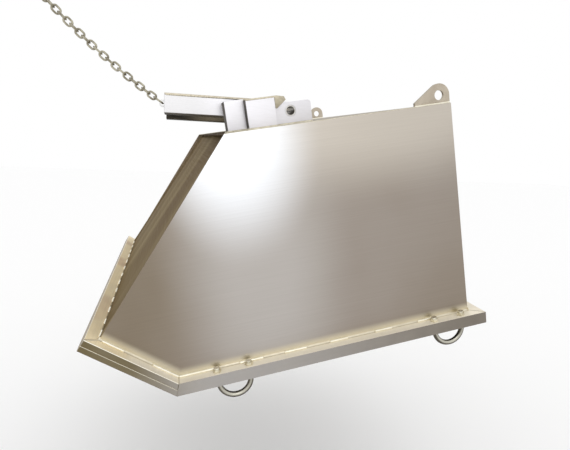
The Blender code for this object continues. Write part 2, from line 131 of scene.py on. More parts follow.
FRONT_TOP, REAR_TOP, MOUTH_FRONT, MOUTH_KINK, MOUTH_REAR = corners("near_side_plate")
SLOPE_TOP, _, SLOPE_FOOT, _ = corners("front_slope_plate")
HALF_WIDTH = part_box("far_side_plate")[1].y
RIM_TOP = bin_box("near_long_rim")[1].z
RIM_DEPTH = RIM_TOP - bin_box("near_long_rim")[0].z
RIM_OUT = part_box("far_long_rim")[1].y
LIP_WAY = (MOUTH_FRONT - MOUTH_KINK).normalized()
LIP_UP = Vector((-LIP_WAY.y, LIP_WAY.x)) if LIP_WAY.x > 0 else Vector((LIP_WAY.y, -LIP_WAY.x))
SLOPE_WAY = (MOUTH_FRONT - FRONT_TOP).normalized()
REAR_WAY = (MOUTH_REAR - REAR_TOP).normalized()
ALONG = Vector((1, 0))
UP = Vector((0, 1))
ACROSS = Vector((0, 1, 0))
SHEET = 0.004  # thickness of the bin's walls
KINK = crossing(Vector((0, RIM_TOP)), ALONG, MOUTH_KINK + LIP_UP * RIM_DEPTH, LIP_WAY)
LIP = crossing(MOUTH_FRONT + LIP_UP * RIM_DEPTH, LIP_WAY, FRONT_TOP, SLOPE_WAY)
REAR_RIM = crossing(Vector((0, RIM_TOP)), ALONG, REAR_TOP, REAR_WAY)


def in_3d(point, y=0.0):
    return Vector((point.x, y, point.y))


def on_bin(way):
    """A direction that the bin has from the side, in the scene's axes."""
    return BIN.to_3x3() @ in_3d(way)


def axes(x, y, z, place):
    """The matrix that turns a piece's x, y and z to these directions and moves it to a place."""
    turned = Matrix((x, y, z)).transposed().to_4x4()
    turned.translation = place
    return turned


# Settings that a user would change


def metres(name, description, default):
    return FloatProperty(name=name, description=description, default=default, unit="LENGTH")


def shade(name, description, default):
    return FloatVectorProperty(name=name, description=description, default=default, subtype="COLOR", size=3)


class SkipSizes(bpy.types.PropertyGroup):
    edge: metres("Broken edge", "Width of the broken edges of plates", 0.0012)
    rim_edge: metres("Rim edge", "Width of the rim's broken edges", 0.0025)
    fold: metres("Fold", "Outer radius of folded sheet corners", 0.004)
    bead: metres("Fillet weld", "Leg of the fillet welds", 0.005)
    cove: metres("Cove", "Leg of the hollow fillet from the walls to the rim", 0.011)
    seam: metres("Corner seam", "Height of the corner seams", 0.0016)
    ripple: metres("Ripple", "Pitch of the ripples in a weld", 0.006)
    stitch: metres("Stitch", "Length of a stitch weld on the rim", 0.082)
    stitch_pitch: metres("Stitch pitch", "From one stitch weld to the next", 0.170)
    link_wire: metres("Link wire", "Thickness of the chain's wire", 0.009)
    link_pitch: metres("Link pitch", "Inner length of a chain link", 0.030)
    thread: metres("Thread", "Pitch of the thread on the ring bolts", 0.002)


class SkipColours(bpy.types.PropertyGroup):
    sheet: shade("Sheet", "Satin sheet in the open", (0.335, 0.290, 0.250))
    # Colour of the painted highlight on the satin sheet.
    sheet_light: shade("Light sheet", "Cleanest sheet", (0.92, 0.94, 0.97))
    # Colour of the painted dark brown reflection on the satin sheet.
    sheet_film: shade("Film", "Brown film on the sheet", (0.235, 0.190, 0.135))
    # The rim's pale tone, painted on its up-facing faces as light.
    rim: shade("Rim", "Pickled rim angle", (0.98, 0.91, 0.76))
    plate: shade("Plate", "Pale plate of the sleeves", (0.765, 0.755, 0.785))
    # Colour of the painted shade on undersides.
    underside_shade: shade("Grime", "Grime on undersides", (0.075, 0.055, 0.035))
    weld: shade("Weld", "Weld metal", (0.83, 0.78, 0.62))
    # Colour of the painted highlight along the ring bars' upper flanks.
    bar: shade("Ring bar", "Bar of the ring bolts", (0.58, 0.56, 0.48))
    zinc: shade("Zinc", "Zinc plated chain", (0.47, 0.44, 0.34))


class SkipStage(bpy.types.PropertyGroup):
    floor_drop: metres("Floor drop", "Floor below the lowest ring", 0.75)
    floor_size: metres("Floor size", "Width of the floor", 40.0)
    key_power: FloatProperty(name="Key", description="Power of the front softbox", default=9.0, unit="POWER")
    fill: FloatProperty(name="Fill", description="World light on the object", default=1.04, min=0.0)
    samples_seed: IntProperty(name="Seed", description="Seed of the small irregularities", default=7)


def sizes():
    return bpy.context.scene.skip_sizes


def colours():
    return bpy.context.scene.skip_colours


def settings():
    return bpy.context.scene.skip_stage


# Selecting, placing and finishing


def select_only(*objs):
    bpy.ops.object.select_all(action="DESELECT")
    for obj in objs:
        obj.select_set(True)
    bpy.context.view_layer.objects.active = objs[-1]


def active():
    return bpy.context.active_object


def edit(obj, whole=False):
    """Edit mode on one object, with nothing or the whole of its mesh selected."""
    select_only(obj)
    bpy.ops.object.mode_set(mode="EDIT")
    bpy.ops.mesh.select_mode(type="VERT")
    bpy.ops.mesh.select_all(action="DESELECT")
    if whole:
        bpy.ops.mesh.select_all(action="SELECT")


def pick(obj, test, kind="vertices"):
    """Selects the vertices, edges or faces that pass the test, in edit mode."""
    bpy.ops.object.mode_set(mode="OBJECT")
    bpy.context.tool_settings.mesh_select_mode = [kind == each for each in ("vertices", "edges", "polygons")]
    for items in (obj.data.vertices, obj.data.edges, obj.data.polygons):
        items.foreach_set("select", [False] * len(items))
    for item in getattr(obj.data, kind):
        item.select = test(item)
    bpy.ops.object.mode_set(mode="EDIT")


def object_mode():
    bpy.ops.object.mode_set(mode="OBJECT")


def apply(obj, kind, **values):
    """Adds a modifier with these values and applies it."""
    select_only(obj)
    added = obj.modifiers.new(kind.title(), kind)
    for name, value in values.items():
        setattr(added, name, value)
    bpy.ops.object.modifier_apply(modifier=added.name)


def settle(obj):
    """Leaves an object's place, turn and scale in its mesh."""
    select_only(obj)
    bpy.ops.object.transform_apply(location=True, rotation=True, scale=True)


def put(obj, place):
    """Moves a piece modelled at the origin to its place."""
    obj.matrix_world = place @ obj.matrix_world
    settle(obj)


def cut(obj, tool, operation="DIFFERENCE"):
    """Cuts an object with another, which is used up."""
    apply(obj, "BOOLEAN", operation=operation, object=tool, solver="EXACT")
    bpy.data.objects.remove(tool)


def push(way):
    """Extrudes what is selected in edit mode."""
    bpy.ops.mesh.extrude_region_move(TRANSFORM_OT_translate={"value": way})


def smooth(obj, degrees):
    select_only(obj)
    bpy.ops.object.shade_smooth_by_angle(angle=math.radians(degrees))


def outward(obj):
    edit(obj, whole=True)
    bpy.ops.mesh.normals_make_consistent(inside=False)
    object_mode()


def prism(outline, way):
    """A solid that fills a flat outline and reaches along a way."""
    bpy.ops.mesh.primitive_circle_add(vertices=len(outline), radius=0.1, fill_type="NGON")
    solid = active()
    for vert, point in zip(solid.data.vertices, outline):
        vert.co = point
    edit(solid, whole=True)
    push(way)
    object_mode()
    outward(solid)
    return solid


def joined(name, objs):
    """One piece from several."""
    select_only(*objs)
    bpy.ops.object.join()
    whole = active()
    whole.name = whole.data.name = name
    return whole


def copied(obj):
    select_only(obj)
    bpy.ops.object.duplicate()
    return active()


def finish(obj, body, slot, look, nodes=(), second=None):
    """Gives a piece its finishes and body, and hides the CAD nodes that it stands for; the slot is not used.
    """
    numbers = [face.material_index for face in obj.data.polygons]
    obj.data.materials.clear()
    obj.data.materials.append(metal(look))
    if second:
        obj.data.materials.append(metal(second))
        obj.data.polygons.foreach_set("material_index", numbers)
    obj.data.name = obj.name
    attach(obj, body)
    if nodes:
        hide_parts(*nodes)


def round_hole(node):
    """A fine cylinder for the hole in a plate whose outline is convex."""
    low, high = bin_box(node)
    points = [Vector(p) for p in sorted({(round(p.x, 5), round(p.z, 5)) for p in bin_points(node)})]
    hull = [points[i] for i in convex_hull_2d(points)]
    sides = list(zip(hull, hull[1:] + hull[:1]))
    ring = [p for p in points if min(abs((b - a).cross(p - a)) / (b - a).length for a, b in sides) > 0.003]
    centre = sum(ring, Vector((0, 0))) / len(ring)
    radius = 1.01 * max((p - centre).length for p in ring)
    bpy.ops.mesh.primitive_cylinder_add(vertices=48, radius=radius, depth=4 * (high.y - low.y))
    cutter = active()
    middle = Matrix.Translation(in_3d(centre, (low.y + high.y) / 2))
    put(cutter, BIN @ middle @ Matrix.Rotation(math.pi / 2, 4, "X"))
    return cutter


def broken(piece, width, steps, angle=30, edges_apart=False):
    """Breaks a piece's edges, which get the second material where they are to look apart."""
    piece.data.materials.clear()
    for _ in range(2):
        piece.data.materials.append(None)
    apply(
        piece, "BEVEL", width=width, segments=steps, limit_method="ANGLE", angle_limit=math.radians(angle),
        use_clamp_overlap=True, material=int(edges_apart),
    )
    smooth(piece, 28)
    apply(piece, "WEIGHTED_NORMAL", keep_sharp=True)


def dressed(node, name, width, steps=2, angle=30, folded=None, edges_apart=False, cutter=None):
    """A copy of a CAD node with its edges broken, and folded edges, which the test picks, rounded."""
    piece = copied(frame["nodes"][node])
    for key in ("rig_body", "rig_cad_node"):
        del piece[key]
    piece.parent = None
    piece.matrix_world = WORLD
    piece.name = name
    edit(piece, whole=True)
    bpy.ops.mesh.remove_doubles(threshold=1e-5)
    bpy.ops.mesh.dissolve_limited(angle_limit=math.radians(2))
    object_mode()
    if cutter:
        cut(piece, cutter)
    if folded:
        edit(piece)
        points = piece.data.vertices
        pick(piece, lambda e: folded(points[e.vertices[0]].co, points[e.vertices[1]].co), "edges")
        bpy.ops.mesh.bevel(offset=sizes().fold, segments=4, affect="EDGES")
        object_mode()
    broken(piece, width, steps, angle, edges_apart)
    return piece


# Materials


def new_node(tree, kind, sockets, **options):
    """The outputs of a new node, whose sockets are linked to others or set to plain values."""
    made = tree.nodes.new(kind)
    for key, value in options.items():
        setattr(made, key, value)
    for key, value in sockets.items():
        if isinstance(value, bpy.types.NodeSocket):
            tree.links.new(value, made.inputs[key])
        else:
            made.inputs[key].default_value = value
    return made.outputs


class Finish:
    """A metal finish whose nodes read Object coordinates, turned to lie along the bin or the sleeves."""

    def __init__(self, name, base, turn=0.0, metallic=1.0, roughness=0.4):
        self.material = bpy.data.materials.new(f"{name}_finish")
        self.material.use_nodes = True
        self.tree = self.material.node_tree
        self.shader = self.tree.nodes["Principled BSDF"]
        self.shader.inputs["Metallic"].default_value = metallic
        self.shader.inputs["Roughness"].default_value = roughness
        self.coordinates = self.tree.nodes.new("ShaderNodeTexCoord")
        self.base = base
        self.turn = turn

    def link(self, source, socket):
        self.tree.links.new(source, self.shader.inputs[socket])

    def node(self, kind, sockets, **options):
        return new_node(self.tree, kind, sockets, **options)

    def mapped(self, scale, centre=(0, 0, 0)):
        """Object coordinates from a centre, turned along the bin, then scaled."""
        sockets = {
            "Vector": self.coordinates.outputs["Object"], "Location": centre, "Rotation": (0, self.turn, 0),
            "Scale": [1 / s if s else 1e6 for s in scale],
        }
        return self.node("ShaderNodeMapping", sockets, vector_type="TEXTURE")["Vector"]

    def noise(self, scale, detail=3.0, stretch=(1, 1, 1)):
        sockets = {"Vector": self.mapped(stretch), "Scale": scale, "Detail": detail}
        return self.node("ShaderNodeTexNoise", sockets)["Fac"]

    def cloud(self, scale, detail=3.0, low=0.35, high=0.65, kind="LINEAR"):
        """Noise spread out to 0 to 1."""
        return self.between(self.noise(scale, detail), low, high, kind)

    def patch(self, centre, radii, high, low=0.0):
        """1 at a place, falling smoothly to 0 at the radii, which lie along the turned axes."""
        vector = self.mapped([1 / r if r else 0 for r in radii], centre)
        fall = self.node("ShaderNodeTexGradient", {"Vector": vector}, gradient_type="SPHERICAL")["Fac"]
        return self.between(fall, low, high, "SMOOTHSTEP")

    def between(self, value, low, high, kind="LINEAR", to=(0.0, 1.0)):
        sockets = {"Value": value, "From Min": low, "From Max": high, "To Min": to[0], "To Max": to[1]}
        return self.node("ShaderNodeMapRange", sockets, interpolation_type=kind)["Result"]

    def dot(self, output, way, low, high):
        sockets = {0: self.coordinates.outputs[output], 1: way}
        value = self.node("ShaderNodeVectorMath", sockets, operation="DOT_PRODUCT")["Value"]
        return self.between(value, low, high, "SMOOTHSTEP")

    def along(self, way, start, end):
        """0 to 1 between two distances along a direction, in the object's own axes."""
        return self.dot("Object", way, start, end)

    def from_corner(self, corner, way, start, end):
        """0 to 1 between two distances from a corner of the bin, along one of the bin's directions."""
        way = on_bin(way)
        here = way.dot(BIN @ in_3d(corner))
        return self.along(way, here + start, here + end)

    def facing(self, way, low, high):
        """1 where the surface faces a direction of the object's own axes."""
        return self.dot("Normal", way, low, high)

    def either(self, ways, low, high):
        """1 where the surface faces one of two directions."""
        return self.times(*[self.facing(way, low, high) for way in ways], "MAXIMUM")

    def times(self, a, b, operation="MULTIPLY"):
        return self.node("ShaderNodeMath", {0: a, 1: b}, operation=operation)["Value"]

    def mix(self, factor, a, b):
        """Two colours mixed: each is a socket or a plain colour."""
        a, b = (each if isinstance(each, bpy.types.NodeSocket) else (*each, 1) for each in (a, b))
        return self.node("ShaderNodeMix", {0: factor, 6: a, 7: b}, data_type="RGBA")[2]

    def coat(self, mask, colour, share=1.0):
        """Lays a colour over what is there, by that share where the mask is 1."""
        if share < 1.0:
            mask = self.times(mask, share)
        self.base = self.mix(mask, self.base, colour)
        self.link(self.base, "Base Color")

    def rough(self, value, low, high):
        self.link(self.between(value, 0.3, 0.7, to=(low, high)), "Roughness")

    def dull(self, mask, metallic, low, high):
        """Makes the metal rougher and less metallic under a film."""
        self.link(self.between(mask, 0.0, 1.0, to=(1.0, metallic)), "Metallic")
        self.link(self.between(mask, 0.0, 1.0, to=(low, high)), "Roughness")

    def bump(self, height, strength, distance):
        sockets = {"Height": height, "Strength": strength, "Distance": distance}
        self.link(self.node("ShaderNodeBump", sockets)["Normal"], "Normal")

    def grained(self, scale, detail, rough, strength, distance=0.0003):
        """Fine grain that changes the roughness between two values and is raised a little."""
        grain = self.noise(scale, detail)
        self.rough(grain, *rough)
        self.bump(grain, strength, distance)

    def brushed(self, colour, share, strength):
        """Long thin lines of brushing along x, coloured and raised a little."""
        lines = self.noise(1.0, 4.0, (3.0, 3.0, 420.0))
        self.coat(self.between(lines, 0.3, 0.7, to=(0.0, share)), colour)
        self.bump(lines, strength, 0.0004)
        return lines

    def clouded(self, scale, colour, low, high, fine=90.0, edges=(0.35, 0.65)):
        """Clouds of another colour, and roughness that changes more finely between two values."""
        self.coat(self.cloud(scale, 3.0, *edges), colour)
        self.rough(self.noise(fine, 2.0), low, high)


def satin_sheet():
    """Satin stainless sheet with painted highlights high on the walls, a painted reflection of the pale rim
    just above it, painted dark brown reflections towards the mouth and the lower rear corner, and darker
    brown inner faces of the side walls.
    """
    paint = colours()
    steel = Finish("satin_sheet", paint.sheet, -TILT)
    # Painted highlight: a lighter band along the upper part of the side walls.
    steel.coat(steel.patch((0.70, 0, -0.02), (0.95, 0, 0.34), 0.75), (0.60, 0.55, 0.48), 0.90)
    # Painted dark brown reflection towards the mouth's lower corner.
    steel.coat(steel.patch((-0.16, 0, -0.66), (0.42, 0, 0.62), 0.75), paint.sheet_film, 0.85)
    # Painted highlight running down below the brightest one.
    steel.coat(steel.patch((0.32, 0, -0.55), (0.36, 0, 0.85), 0.8), (0.60, 0.58, 0.56), 0.55)
    # Painted dark reflection at the lower rear corner.
    steel.coat(steel.patch((1.14, 0, -0.74), (0.50, 0, 0.60), 1.0), paint.sheet_film, 0.45)
    # Painted highlight: the brightest patch, high on the side walls.
    steel.coat(steel.patch((0.208, 0, -0.15), (0.305, 0, 0.44), 0.72), paint.sheet_light)
    steel.coat(steel.cloud(2.6, 2.0, kind="SMOOTHSTEP"), (0.62, 0.60, 0.58), 0.06)
    # Painted reflection of the pale rim on the walls, full just above the rim and gone higher up.
    gone, full = 0.036, 0.004  # heights above the rim where the glow ends and where it is full
    rim_reflection = [steel.from_corner(KINK, up, gone, full) for up in (UP, LIP_UP)]
    steel.coat(steel.times(*rim_reflection, "MAXIMUM"), (0.84, 0.78, 0.62), 0.90)
    side = steel.along((0, 1, 0), -0.1, 0.1)
    within = steel.times(steel.facing((0, 1, 0), -0.5, 0.5), side, "SUBTRACT")
    within = steel.between(steel.times(within, 0.0, "ABSOLUTE"), 0.5, 0.9, "SMOOTHSTEP")
    steel.coat(within, (0.30, 0.235, 0.165))
    steel.rough(steel.brushed((0.16, 0.14, 0.12), 0.05, 0.10), 0.34, 0.46)


def slope_sheet():
    """The same sheet on the front slope and the bottom plate's edges, dark brown, with painted shade in the
    front corner and on faces towards the front.
    """
    steel = Finish("slope_sheet", (0.165, 0.122, 0.065), -TILT, metallic=0.75)
    steel.shader.inputs["Specular Tint"].default_value = (0.30, 0.23, 0.12, 1)
    steel.coat(steel.cloud(2.2, 3.0, 0.3, 0.7, "SMOOTHSTEP"), (0.225, 0.178, 0.102))
    streak = steel.between(steel.noise(1.0, 2.0, (0.7, 6.5, 0.7)), 0.42, 0.66, "SMOOTHSTEP")
    steel.coat(streak, (0.42, 0.35, 0.23), 0.38)
    # Up-facing faces: pale sheet further back, painted dark as shade in the front corner under the slope.
    strip = steel.from_corner(FRONT_TOP, ALONG, 0.17, 0.09)
    clean = steel.mix(strip, (0.60, 0.57, 0.53), (0.10, 0.08, 0.05))
    steel.coat(steel.facing(on_bin(UP), 0.7, 0.95), clean)
    # Painted shade on the faces towards the front, such as the bottom plate's front edge under the ledge.
    steel.coat(steel.facing(on_bin(-ALONG), 0.80, 0.97), (0.07, 0.055, 0.035), 0.9)
    steel.rough(steel.brushed((0.10, 0.08, 0.05), 0.12, 0.12), 0.44, 0.56)


def rim_steel():
    """Rim angle: cream on its up-facing faces as painted light, golden towards the lip, greyer on its outer
    leg, and painted dark brown shade on faces towards the front.
    """
    steel = Finish("rim_steel", (0.40, 0.38, 0.365), -TILT)
    steel.coat(steel.from_corner(KINK, ALONG, 0.15, (REAR_RIM - KINK).x), (0.215, 0.190, 0.160))
    steel.coat(steel.patch((-0.36, 0, -0.90), (0.52, 0, 0.55), 0.55), (0.175, 0.140, 0.075))
    # Painted light: up-facing faces are made cream, golden towards the lip.
    up = steel.facing(on_bin(UP), 0.35, 0.8)
    lip = steel.patch(BIN @ in_3d(LIP), (0.16, 0, 0.20), 0.60, 0.25)
    flat = steel.mix(steel.times(lip, 0.9), colours().rim, (0.96, 0.81, 0.52))
    blush = steel.cloud(3.1, 2.0, 0.52, 0.66, "SMOOTHSTEP")
    steel.coat(up, steel.mix(steel.times(blush, lip), flat, (0.74, 0.56, 0.37)))
    # Painted shade: dark brown on faces towards the front.
    steel.coat(steel.facing(on_bin(LIP_WAY), 0.85, 0.97), (0.20, 0.155, 0.095), 0.9)
    steel.coat(steel.cloud(9.0), (0.50, 0.46, 0.38), 0.14)
    steel.brushed((0.20, 0.17, 0.13), 0.10, 0.10)
    steel.dull(steel.times(up, steel.between(lip, 0.0, 1.0, to=(0.92, 1.0))), 0.25, 0.38, 0.60)


def rim_edge():
    """The rim's broken edges, dark, with a painted highlight where they face up and painted shade where they
    face the front.
    """
    steel = Finish("rim_edge", (0.16, 0.13, 0.10), -TILT, roughness=0.34)
    # Painted highlight on up-facing edges.
    steel.coat(steel.facing((0, 0, 1), -0.1, 0.3), (0.98, 0.93, 0.80))
    # Painted shade on edges towards the front.
    steel.coat(steel.facing((-0.9, 0, 0.3), 0.20, 0.55), (0.16, 0.12, 0.07), 0.85)
    steel.coat(steel.cloud(14.0, 3.0, 0.40), (0.45, 0.40, 0.30), 0.18)


def frame_steel():
    """Pale plate, with painted shade underneath and on the faces towards the forks, and a little darker below
    0.23 m along x to tone down the softbox highlight.
    """
    paint = colours()
    steel = Finish("frame_steel", paint.plate)
    steel.coat(steel.cloud(14.0, 4.0), (0.62, 0.61, 0.60), 0.14)
    # Darker below 0.23 m along x: painted shade that tones down the softbox highlight on the sleeves there.
    steel.coat(steel.along((1, 0, 0), 0.232, 0.10), (0.64, 0.635, 0.645))
    # Painted shade on faces towards the forks.
    behind = steel.facing((-1, 0, 0), 0.55, 0.95)
    steel.coat(behind, (0.06, 0.05, 0.037), 0.94)
    # Painted shade on undersides.
    under = steel.facing((0, 0, -1), 0.35, 0.85)
    steel.coat(under, paint.underside_shade, 0.94)
    grain = steel.noise(1.0, 4.0, (30.0, 30.0, 300.0))
    steel.coat(steel.between(grain, 0.35, 0.7, to=(0.0, 0.06)), (0.30, 0.28, 0.25))
    steel.dull(steel.times(under, behind, "MAXIMUM"), 0.1, 0.38, 0.9)
    steel.bump(grain, 0.08, 0.0003)


def sleeve_inside():
    """Inside of the sleeves and their walls that face each other, painted dark as shade, paler towards the
    rear and rubbed paler in places.
    """
    steel = Finish("sleeve_inside", (0.022, 0.018, 0.011), metallic=0.3)
    steel.coat(steel.along((1, 0, 0), 0.06, 0.24), (0.20, 0.165, 0.11))
    rubbed = steel.between(steel.noise(1.0, 3.0, (7.0, 20.0, 60.0)), 0.50, 0.68, "SMOOTHSTEP")
    steel.coat(rubbed, (0.17, 0.14, 0.09), 0.5)
    steel.grained(180.0, 3.0, (0.50, 0.75), 0.2, 0.0004)


def top_edge():
    """Top plates, pale on their faces and beige along their cut edges."""
    steel = Finish("top_edge", colours().plate)
    steel.coat(steel.either([(0, -1, 0), (0, 1, 0)], 0.5, 0.9), (0.53, 0.48, 0.38))
    steel.coat(steel.cloud(22.0), (0.62, 0.56, 0.44), 0.22)
    steel.rough(steel.noise(90.0, 2.0), 0.34, 0.48)


def guide_cap():
    """Cap welded on the guide, straw coloured from the heat."""
    steel = Finish("guide_cap", (0.60, 0.55, 0.42))
    steel.clouded(46.0, (0.48, 0.43, 0.33), 0.34, 0.48, edges=(0.38, 0.62))


def pin_steel():
    """Hollow pin, clean all round."""
    steel = Finish("pin_steel", (0.80, 0.79, 0.77), roughness=0.35)
    ring = steel.noise(1.0, 3.0, (40.0, 400.0, 40.0))
    steel.coat(steel.between(ring, 0.35, 0.7), (0.66, 0.64, 0.60))
    steel.bump(ring, 0.08, 0.0003)


def pin_bore():
    """Inside of the hollow pins, painted dark as shade, with a painted highlight where it faces down and to
    the front.
    """
    steel = Finish("pin_bore", (0.10, 0.085, 0.06), roughness=0.22)
    # Painted highlight where the light reaches into the bore.
    steel.coat(steel.facing((-0.75, 0, -0.66), 0.84, 0.96), (0.97, 0.96, 0.92))
    steel.bump(steel.noise(1.0, 3.0, (40.0, 300.0, 40.0)), 0.1, 0.0004)


def lug_plate():
    """Lug plate, satin grey and browner on its edges."""
    steel = Finish("lug_plate", (0.455, 0.395, 0.315), -TILT)
    steel.clouded(18.0, (0.55, 0.49, 0.40), 0.34, 0.46, 120.0)
    steel.coat(steel.either([(1, 0, 0), (-1, 0, 0)], 0.3, 0.8), (0.30, 0.26, 0.20), 0.6)


def heat_line():
    """Dark line left between tack welds."""
    steel = Finish("heat_line", (0.26, 0.205, 0.115), metallic=0.6)
    steel.clouded(60.0, (0.38, 0.31, 0.19), 0.5, 0.7)


def weld_metal():
    """Weld beads, pale with straw and grey heat marks."""
    steel = Finish("weld_metal", colours().weld)
    steel.clouded(40.0, (0.60, 0.55, 0.42), 0.34, 0.52)
    steel.coat(steel.cloud(120.0, 2.0, 0.62, 0.72), (0.28, 0.22, 0.15), 0.5)


def cove_metal():
    """Ground fillet between the wall and the rim, cream."""
    steel = Finish("cove_metal", (0.74, 0.68, 0.54))
    steel.clouded(24.0, (0.62, 0.56, 0.43), 0.36, 0.50, 70.0)


def stitch_metal():
    """Stitch welds, bright and clean."""
    steel = Finish("stitch_metal", (0.98, 0.94, 0.82))
    steel.clouded(40.0, (0.90, 0.85, 0.70), 0.28, 0.42)


def ring_bar():
    """Smooth round bar, painted dark as shade, with a painted highlight along its upper flanks, and pale all
    round above the rim.
    """
    steel = Finish("ring_bar", (0.075, 0.065, 0.048))
    # Painted highlight along the upper flanks of the bar.
    steel.coat(steel.either([(0, -0.87, 0.49), (0, 0.87, 0.49)], 0.70, 0.98), colours().bar)
    steel.coat(steel.from_corner(KINK, UP, -0.004, 0.002), (0.72, 0.68, 0.56))
    steel.coat(steel.cloud(26.0, 4.0), (0.26, 0.24, 0.20), 0.25)
    steel.grained(260.0, 2.0, (0.20, 0.34), 0.06)


def zinc():
    """Dull zinc, soiled in patches."""
    steel = Finish("zinc", colours().zinc)
    steel.coat(steel.cloud(45.0, 4.0, 0.38, 0.62), (0.26, 0.235, 0.175))
    steel.coat(steel.cloud(210.0, 3.0, 0.60, 0.72), (0.60, 0.58, 0.54), 0.6)
    steel.grained(320.0, 3.0, (0.34, 0.52), 0.12)


FINISHES = (
    satin_sheet, slope_sheet, rim_steel, rim_edge, frame_steel, sleeve_inside, top_edge, guide_cap, pin_steel,
    pin_bore, lug_plate, heat_line, weld_metal, cove_metal, stitch_metal, ring_bar, zinc,
)


def metal(name):
    """The finish of that name, made once."""
    if f"{name}_finish" not in bpy.data.materials:
        {maker.__name__: maker for maker in FINISHES}[name]()
    return bpy.data.materials[f"{name}_finish"]


# Welds


SWELL = 0.06  # how much a ripple stands out, as a share of the leg
UNEVEN = 0.02
TAPER = 0.45  # width of a run's ends, as a share of the leg


def bead(start, end, leg, rng):
    """A rippled run of weld, half sunk in the corner that it fills."""
    along = end - start
    count = max(3, round(along.length / (sizes().ripple / 3)))
    step = along.length / count
    bpy.ops.mesh.primitive_cylinder_add(vertices=8, radius=leg, depth=step, end_fill_type="NOTHING")
    run = active()
    apply(
        run, "ARRAY", count=count, use_relative_offset=False, use_constant_offset=True,
        constant_offset_displace=(0, 0, step), use_merge_vertices=True, merge_threshold=step / 10,
    )
    edit(run, whole=True)
    bpy.ops.mesh.fill_holes(sides=8)
    object_mode()
    shift = rng.uniform(0, 3)
    for vert in run.data.vertices:
        ring = round(vert.co.z / step + 0.5)
        swell = 1 + SWELL * math.sin((ring + shift) * math.tau / 3) + rng.uniform(-UNEVEN, UNEVEN)
        if ring in (0, count):
            swell = TAPER
        vert.co.x *= swell
        vert.co.y *= swell
    place = Matrix.Translation(start + along.normalized() * step / 2)
    run.matrix_world = place @ along.to_track_quat("Z", "Y").to_matrix().to_4x4()
    return run


def weld(name, runs, leg, look="weld_metal", body=SKIP):
    """One piece from runs of weld, each from a start to an end in the body's own frame."""
    rng = random.Random(name)
    made = [bead(start, end, leg, rng) for start, end in runs if (end - start).length > 3 * leg]
    piece = joined(name, made)
    settle(piece)
    place, slot = (BIN, "rim_steel") if body == SKIP else (WORLD, "frame_steel")
    put(piece, place)
    smooth(piece, 60)
    finish(piece, body, slot, look)


def foot_runs(node, height, faces="xXyY"):
    """Runs round the foot of a plate that stands on the bottom plate, on the faces named."""
    low, high = bin_box(node)
    at = {"x": low.x, "X": high.x, "y": low.y, "Y": high.y}
    runs = []
    for face in faces:
        if face in "yY":
            ends = [(x, at[face]) for x in (low.x, high.x)]
        else:
            ends = [(at[face], y) for y in (low.y, high.y)]
        runs.append(tuple(Vector((*end, height)) for end in ends))
    return runs


def cove(start, end, out, leg):
    """A hollow fillet that fills the corner between a wall and the rim, which lies out from the line."""
    reach = (end - start).length
    way = (end - start).normalized()
    out = Vector(out)
    up = way.cross(out)
    if up.z < 0:
        up.negate()
    start = start - way * leg * 0.4 - (out + up) * 0.001
    hollow = [(0.0, 0.0), (1.0, 0.0), (0.62, 0.10), (0.38, 0.22), (0.22, 0.38), (0.10, 0.62), (0.0, 1.0)]
    return prism([start + (out * x + up * y) * leg for x, y in hollow], way * (reach + leg * 0.8))


def stitches(start, end, first, rng, length=0.0, pitch=0.0):
    """Stitch welds along a line, the first one that far from its start."""
    way = (end - start).normalized()
    reach = (end - start).length
    length = length or sizes().stitch
    pitch = pitch or sizes().stitch_pitch
    runs = []
    at = first
    while at + length < reach:
        size = length * rng.uniform(0.82, 1.12)
        runs.append((start + way * at, start + way * min(at + size, reach)))
        at += pitch * rng.uniform(0.92, 1.08)
    return runs


class SKIP_OT_sheets(bpy.types.Operator):
    """Bin sheets with broken edges and a satin finish"""

    bl_idname = "skip.sheets"
    bl_label = "Bin sheets"

    def execute(self, context):
        for node in ("near_side_plate", "far_side_plate", "bottom_plate", "rear_wall", "front_slope_plate"):
            piece = dressed(node, f"{node}_sheet", sizes().edge)
            look = "slope_sheet" if node in ("bottom_plate", "front_slope_plate") else "satin_sheet"
            finish(piece, SKIP, "satin_sheet", look, [node])
        return {"FINISHED"}


class SKIP_OT_rim(bpy.types.Operator):
    """Rim angle round the mouth, with broken edges"""

    bl_idname = "skip.rim"
    bl_label = "Rim"

    STRIP_PROUD = 0.0025
    STRIP_SUNK = 0.001
    STRIP_EDGE = 0.0014
    STRIP_TOP, STRIP_FOOT = 0.50, 0.97  # down the rim's outer leg

    def execute(self, context):
        for node in frame["nodes"]:
            if node.endswith("_rim"):
                piece = dressed(node, f"{node}_angle", sizes().rim_edge, 3, edges_apart=True)
                finish(piece, SKIP, "rim_steel", "rim_steel", [node], "rim_edge")
        for name, sign in SIDES:
            self.strip(f"{name}_front_strip", sign)
        return {"FINISHED"}

    def strip(self, name, sign):
        """A thin flat bar along the lower half of the front rim's outer leg, mitred like it."""
        depth = -LIP_UP * RIM_DEPTH
        lip = LIP + LIP_WAY * (RIM_OUT - HALF_WIDTH)
        foot = crossing(lip + depth, LIP_WAY, KINK - UP * RIM_DEPTH, ALONG)
        outline = [
            lip.lerp(lip + depth, self.STRIP_TOP), lip.lerp(lip + depth, self.STRIP_FOOT),
            foot - depth * (1 - self.STRIP_FOOT), KINK.lerp(foot, self.STRIP_TOP),
        ]
        bar = prism(
            [in_3d(point, sign * (RIM_OUT - self.STRIP_SUNK)) for point in outline],
            (0, sign * (self.STRIP_SUNK + self.STRIP_PROUD), 0),
        )
        bar.name = name
        put(bar, BIN)
        broken(bar, self.STRIP_EDGE, 2, edges_apart=True)
        finish(bar, SKIP, "rim_steel", "rim_steel", (), "rim_edge")


